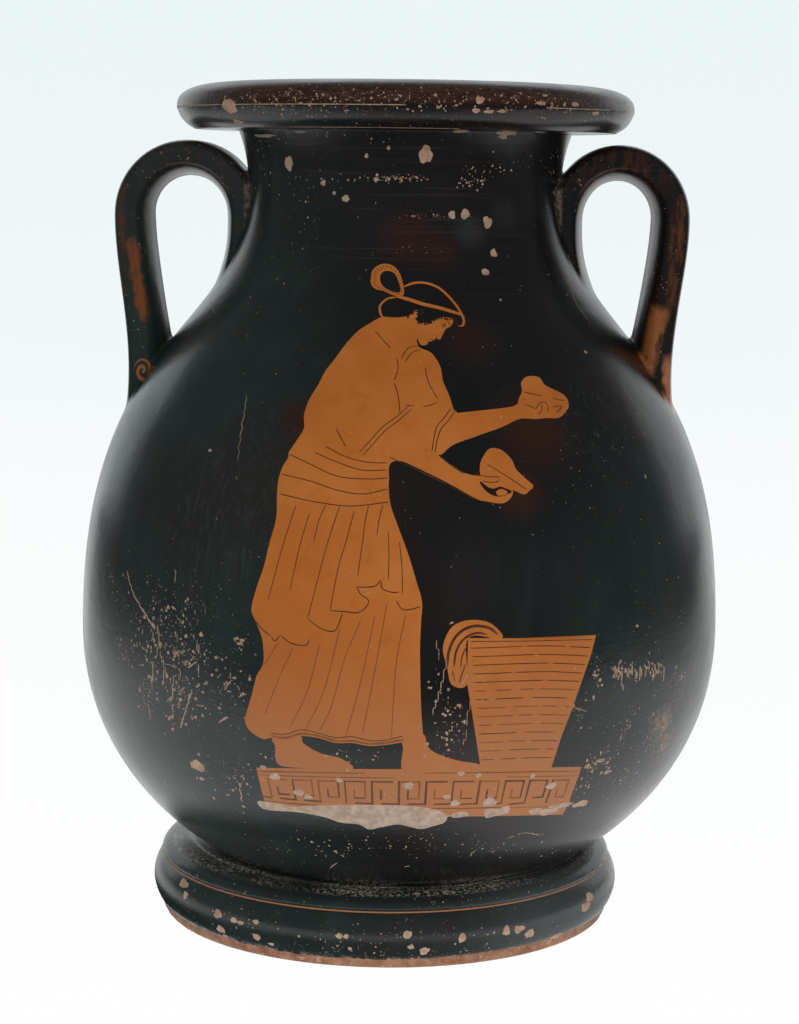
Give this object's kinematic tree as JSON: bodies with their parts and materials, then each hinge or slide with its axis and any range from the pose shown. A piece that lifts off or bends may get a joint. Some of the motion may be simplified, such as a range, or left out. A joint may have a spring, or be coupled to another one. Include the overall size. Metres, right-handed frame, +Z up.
{
  "type": "red-figure pelike",
  "caption": "Red-figure clay pelike: a black gloss storage jar with strap handles, an overhanging lip and a torus foot, and a reserved picture of a woman bending to a basket.",
  "frame": {"origin": "on the axis of belly and neck, at the level of the foot's resting ring", "axes": "+Z up along the belly's axis, +X towards the right-hand handle, -Y out of the painted front"},
  "size_m": [0.2468, 0.2468, 0.32],
  "materials": {
    "black_gloss_clay": "worn black gloss slip on fired orange clay, with reserved orange figures"
  },
  "bodies": {
    "root": {"pelike": "black_gloss_clay"}
  },
  "joints": []
}
